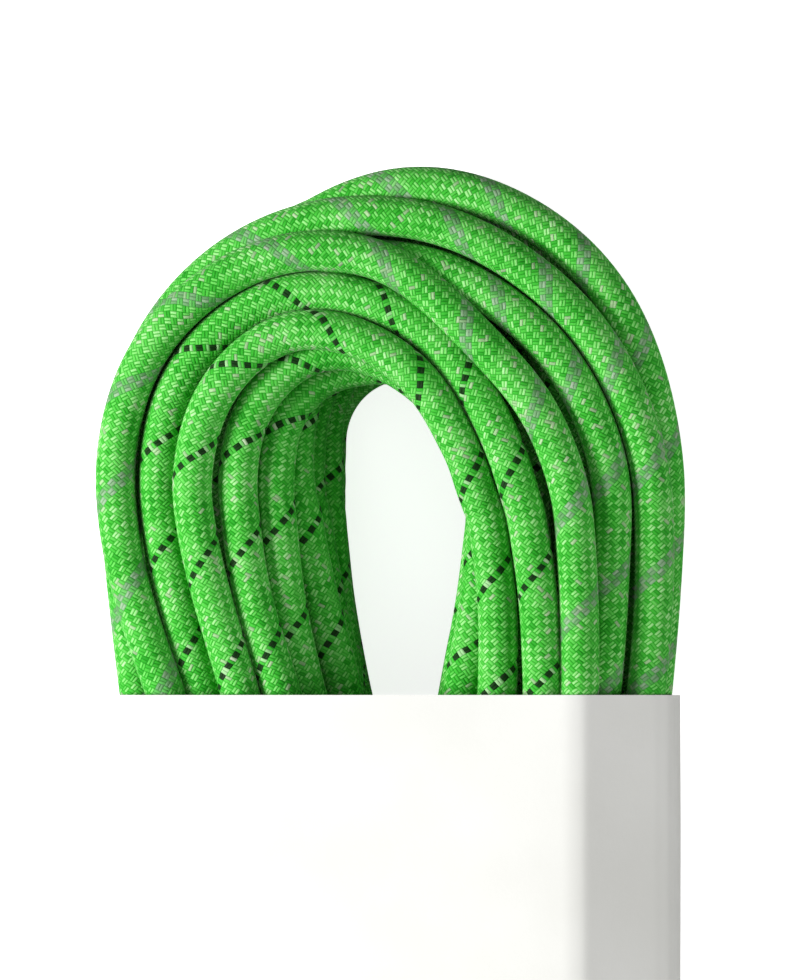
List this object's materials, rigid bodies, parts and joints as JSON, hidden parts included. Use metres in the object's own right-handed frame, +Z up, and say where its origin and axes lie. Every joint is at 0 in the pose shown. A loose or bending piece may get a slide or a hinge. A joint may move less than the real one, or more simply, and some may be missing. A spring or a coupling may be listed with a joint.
{
  "type": "dynamic climbing rope",
  "caption": "Green kernmantle climbing rope with a dark spiral tracer, wound into a long hank that lies flat and is drawn in at the waist by a plain card band.",
  "frame": {"origin": "middle of the hank's footprint, on the surface that it lies on", "axes": "+Y along the hank, towards its upper arch; +Z up from the surface; +X across the hank"},
  "size_m": [0.1471, 0.46, 0.0711],
  "materials": {
    "sheath": "braided polyamide yarn",
    "core": "twisted white yarn",
    "marker": "thin woven tape",
    "melted_tip": "fused nylon",
    "shrink_sleeve": "clear heat-shrink",
    "label": "blank label",
    "card": "smooth white card",
    "clear_tape": "adhesive tape"
  },
  "bodies": {
    "root": {"rope_hank": "sheath", "tail_run_a": "sheath", "tail_run_b": "sheath", "sheath_end_a": "sheath", "sheath_end_b": "sheath", "core_strand_01": "core", "core_strand_02": "core", "core_strand_03": "core", "core_strand_04": "core", "core_strand_05": "core", "core_strand_06": "core", "core_strand_07": "core", "core_strand_08": "core", "core_strand_09": "core", "core_strand_10": "core", "core_strand_11": "core", "core_strand_12": "core", "marker_tape": "marker", "fused_tip_a": "melted_tip", "fused_tip_b": "melted_tip", "end_sleeve_a": "shrink_sleeve", "end_sleeve_b": "shrink_sleeve", "end_label_a": "label", "end_label_b": "label", "card_band": "card", "closing_tape": "clear_tape"}
  },
  "joints": []
}
